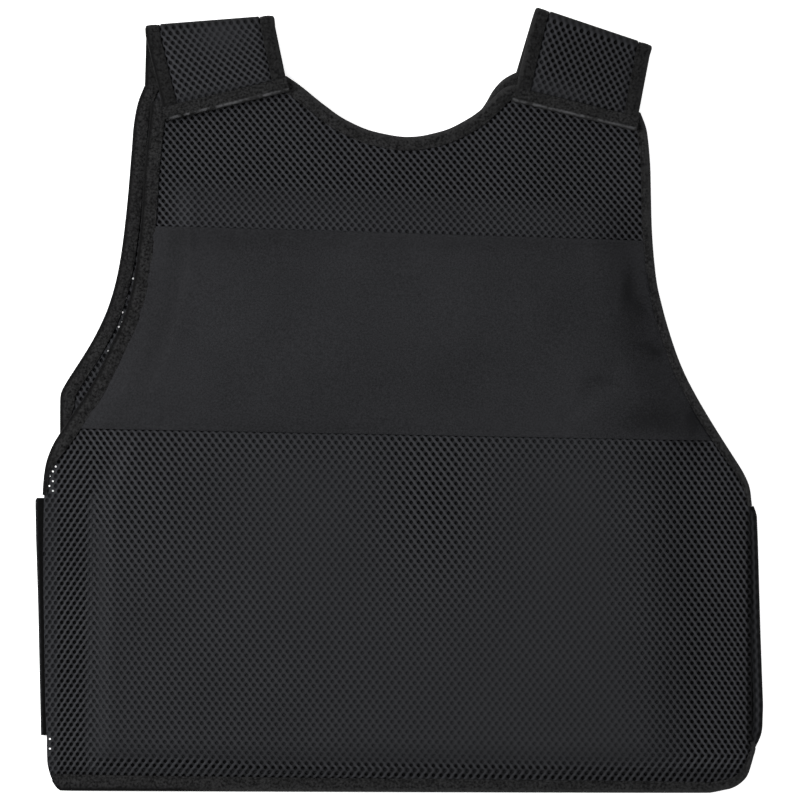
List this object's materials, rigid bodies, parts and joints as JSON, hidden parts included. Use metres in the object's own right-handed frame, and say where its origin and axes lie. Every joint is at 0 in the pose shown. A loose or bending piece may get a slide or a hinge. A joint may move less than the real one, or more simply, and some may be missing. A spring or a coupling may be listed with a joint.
{
  "type": "stab vest",
  "caption": "stab vest in a black net carrier with a bare chest band, lying flat, straps folded over",
  "frame": {"origin": "middle of the vest's bounding box across and along, on the surface under its back panel", "axes": "+Y runs up the vest from hem to neck, +Z is its thickness from back panel to front, +X runs across to the right of the picture"},
  "size_m": [0.4883, 0.5263, 0.0186],
  "materials": {
    "net": "black knitted net cloth",
    "woven": "black fine woven cloth",
    "tape": "black binding tape"
  },
  "bodies": {
    "root": {"back_panel": "net", "front_panel": "net", "shoulder_strap_left": "net", "shoulder_strap_right": "net", "side_wing_left": "net", "side_wing_right": "net", "chest_band": "woven", "back_neck_binding": "tape", "back_armhole_binding_left": "tape", "back_armhole_binding_right": "tape", "back_hem_binding": "tape", "front_neck_binding": "tape", "front_armhole_binding_left": "tape", "front_armhole_binding_right": "tape", "front_hem_binding": "tape", "strap_binding_left": "tape", "strap_binding_right": "tape"}
  },
  "joints": []
}
